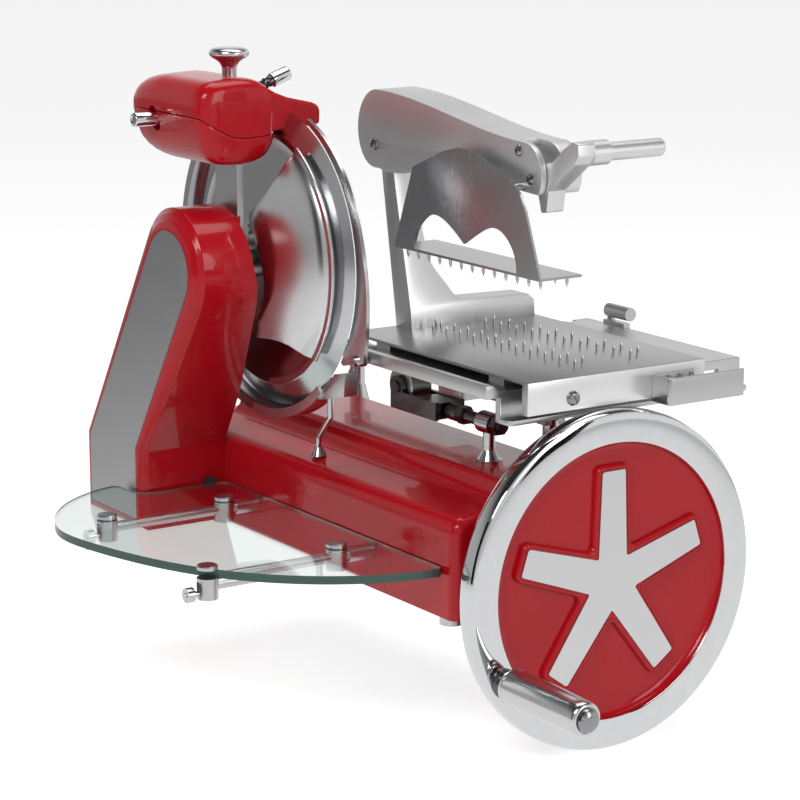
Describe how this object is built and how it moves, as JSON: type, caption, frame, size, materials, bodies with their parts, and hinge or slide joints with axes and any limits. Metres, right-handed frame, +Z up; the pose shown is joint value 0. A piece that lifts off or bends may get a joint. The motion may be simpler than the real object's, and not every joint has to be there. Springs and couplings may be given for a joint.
{
  "type": "hand crank meat slicer",
  "caption": "Hand cranked meat slicer: flywheel and crank, round blade on a leaning tower, sliding pinned table with press arm, sharpener and glass slice tray.",
  "frame": {"origin": "centre of the four stand bolt holes, on the plane that the feet stand on", "axes": "+X along the base to the flywheel, +Y from the slice tray to the product table, +Z up"},
  "size_m": [0.706, 0.5846, 0.6375],
  "materials": {
    "red_paint": "deep red gloss enamel",
    "chrome": "polished chrome",
    "cast_aluminium": "fine blasted and clear anodised casting",
    "brushed_steel": "brushed stainless steel",
    "polished_steel": "polished stainless steel",
    "dark_steel": "dark machined steel",
    "tray_glass": "clear toughened glass with a green edge",
    "black_rubber": "black rubber",
    "grindstone": "fine bonded abrasive"
  },
  "bodies": {
    "base": {"base_casting": "red_paint", "base_cover": "brushed_steel", "base_feet": "cast_aluminium", "tower_housing": "red_paint", "tower_plaque": "brushed_steel", "glass_tray": "tray_glass", "tray_rods": "brushed_steel", "tray_clamps": "brushed_steel", "tray_buttons": "brushed_steel", "tray_screws": "polished_steel", "tray_buffer": "black_rubber", "blade_cover": "brushed_steel", "blade_guard": "brushed_steel", "guard_bracket": "cast_aluminium", "guard_stay": "polished_steel", "gauge_plate": "brushed_steel", "gauge_stud": "polished_steel", "sharpener_support": "cast_aluminium", "sharpener_cap": "red_paint", "sharpener_body": "red_paint", "deburring_stone": "grindstone", "shaft_bearing": "dark_steel", "guide_bar": "polished_steel", "guide_posts": "chrome", "support_pillar": "chrome", "roller_arm": "dark_steel", "arm_nuts": "dark_steel", "roller_bracket": "dark_steel"},
    "flywheel": {"flywheel_rim": "chrome", "flywheel_disc": "red_paint", "wheel_relief": "red_paint", "crank_pin": "polished_steel", "crank_collar": "dark_steel", "main_shaft": "polished_steel"},
    "grip": {"crank_grip": "brushed_steel"},
    "blade_unit": {"blade": "polished_steel", "blade_hub": "brushed_steel", "blade_shaft": "polished_steel"},
    "roller": {"support_roller": "brushed_steel"},
    "carriage": {"carriage_bed": "cast_aluminium", "slide_rail": "cast_aluminium", "bearing_blocks": "cast_aluminium", "feed_latch": "polished_steel"},
    "table": {"feed_table": "brushed_steel", "table_runners": "cast_aluminium", "table_pins": "polished_steel", "cheek_screw": "polished_steel", "finger_grip": "brushed_steel", "grip_screws": "polished_steel", "column": "cast_aluminium"},
    "arm": {"press_arm": "cast_aluminium", "arm_pins": "polished_steel", "gripper": "brushed_steel", "gripper_spikes": "polished_steel"},
    "lever": {"press_lever": "cast_aluminium", "lever_handle": "cast_aluminium"},
    "knob": {"sharpener_knob": "chrome"},
    "sharpener_slide": {"sharpening_pin": "chrome", "sharpening_stone": "grindstone"},
    "deburr_slide": {"deburring_pin": "chrome"}
  },
  "joints": [
    {"name": "flywheel_spin", "type": "hinge", "parent": "base", "child": "flywheel", "pos_m": [0.262, 0.048, 0.034], "axis": [1, 0, 0], "continuous": true},
    {"name": "crank_grip_spin", "type": "hinge", "parent": "flywheel", "child": "grip", "pos_m": [0.37, -0.07787, -0.04193], "axis": [1, 0, 0], "continuous": true},
    {"name": "blade_spin", "type": "hinge", "parent": "base", "child": "blade_unit", "pos_m": [-0.088, -0.14, 0.3], "axis": [0, 1, 0], "continuous": true},
    {"name": "roller_spin", "type": "hinge", "parent": "base", "child": "roller", "pos_m": [0.054, -0.014, 0.185], "axis": [0, 1, 0], "continuous": true},
    {"name": "carriage_slide", "type": "slide", "parent": "base", "child": "carriage", "axis": [-1, 0, 0], "range_m": [0, 0.165]},
    {"name": "table_feed", "type": "slide", "parent": "carriage", "child": "table", "axis": [0, 1, 0], "range_m": [-0.012, 0.06]},
    {"name": "arm_lift", "type": "hinge", "parent": "table", "child": "arm", "pos_m": [-0.022, 0.017, 0.413], "axis": [0, -1, 0], "range_deg": [-12, 60]},
    {"name": "lever_turn", "type": "hinge", "parent": "arm", "child": "lever", "pos_m": [0.2385, 0.01, 0.4085], "axis": [0, -1, 0], "range_deg": [0, 40]},
    {"name": "sharpener_knob_turn", "type": "hinge", "parent": "base", "child": "knob", "pos_m": [-0.105, -0.122, 0.48], "axis": [0, 0, 1], "range_deg": [-180, 180]},
    {"name": "sharpening_push", "type": "slide", "parent": "base", "child": "sharpener_slide", "axis": [0, 1, 0], "range_m": [0, 0.004]},
    {"name": "deburring_push", "type": "slide", "parent": "base", "child": "deburr_slide", "axis": [0, -0.9411, -0.3382], "range_m": [0, 0.006]}
  ],
  "couplings": [
    {"joint": "blade_spin", "follows": "flywheel_spin", "ratio": 2}
  ]
}
